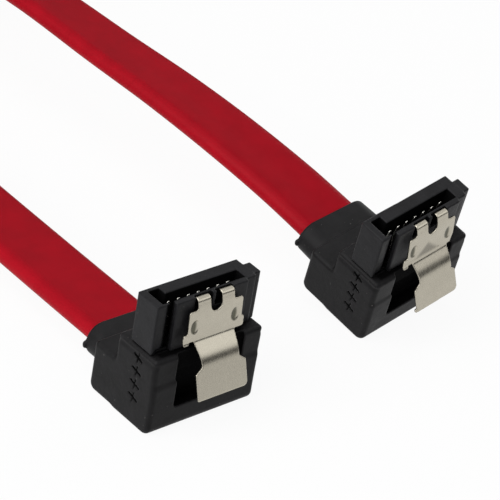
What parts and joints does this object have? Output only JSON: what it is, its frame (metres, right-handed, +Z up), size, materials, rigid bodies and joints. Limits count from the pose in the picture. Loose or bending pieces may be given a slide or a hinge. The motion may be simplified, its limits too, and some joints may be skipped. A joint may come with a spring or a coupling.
{
  "type": "sata data cable",
  "caption": "Flat red data cable with a right-angle latching receptacle on each end, its middle folded into a tied hank.",
  "frame": {"origin": "centre of the left connector's foot, on the surface it stands on", "axes": "+X across the left connector towards the right one, +Y back along the left cable run, +Z up, the left connector's mating direction"},
  "size_m": [0.0451, 0.1818, 0.017],
  "materials": {
    "overmould_vinyl": "satin black vinyl",
    "housing_nylon": "satin black nylon",
    "inner_mould": "matte natural",
    "latch_spring": "satin rolled sheet",
    "contact_plating": "bright plated",
    "drain_wire": "bright foil and drain strand",
    "signal_wire_pale": "smooth insulation",
    "signal_wire_blue": "smooth insulation",
    "cable_jacket": "semi-gloss red vinyl",
    "tie_strap": "matte black strap"
  },
  "bodies": {
    "cable": {"left_overmould": "overmould_vinyl", "left_housing": "housing_nylon", "left_inner_mould": "inner_mould", "left_contact_1": "contact_plating", "left_ground_wire_1": "drain_wire", "left_contact_2": "contact_plating", "left_signal_wire_2": "signal_wire_pale", "left_contact_3": "contact_plating", "left_signal_wire_3": "signal_wire_blue", "left_contact_4": "contact_plating", "left_ground_wire_4": "drain_wire", "left_contact_5": "contact_plating", "left_signal_wire_5": "signal_wire_pale", "left_contact_6": "contact_plating", "left_signal_wire_6": "signal_wire_blue", "left_contact_7": "contact_plating", "left_ground_wire_7": "drain_wire", "right_overmould": "overmould_vinyl", "right_housing": "housing_nylon", "right_inner_mould": "inner_mould", "right_contact_1": "contact_plating", "right_ground_wire_1": "drain_wire", "right_contact_2": "contact_plating", "right_signal_wire_2": "signal_wire_pale", "right_contact_3": "contact_plating", "right_signal_wire_3": "signal_wire_blue", "right_contact_4": "contact_plating", "right_ground_wire_4": "drain_wire", "right_contact_5": "contact_plating", "right_signal_wire_5": "signal_wire_pale", "right_contact_6": "contact_plating", "right_signal_wire_6": "signal_wire_blue", "right_contact_7": "contact_plating", "right_ground_wire_7": "drain_wire", "cable_left_run": "cable_jacket", "cable_right_run": "cable_jacket", "cable_hank": "cable_jacket", "cable_tie": "tie_strap"},
    "left_latch": {"left_latch": "latch_spring"},
    "right_latch": {"right_latch": "latch_spring"}
  },
  "joints": [
    {"name": "left_latch_press", "type": "hinge", "parent": "cable", "child": "left_latch", "pos_m": [0.0002, -0.00387, 0.01427], "axis": [1, 0, 0], "range_deg": [0, 5], "stiffness_Nm_per_rad": 0.05},
    {"name": "right_latch_press", "type": "hinge", "parent": "cable", "child": "right_latch", "pos_m": [0.02952, -0.00426, 0.01482], "axis": [0.9863, 0.0649, 0.1514], "range_deg": [0, 10], "stiffness_Nm_per_rad": 0.05}
  ]
}
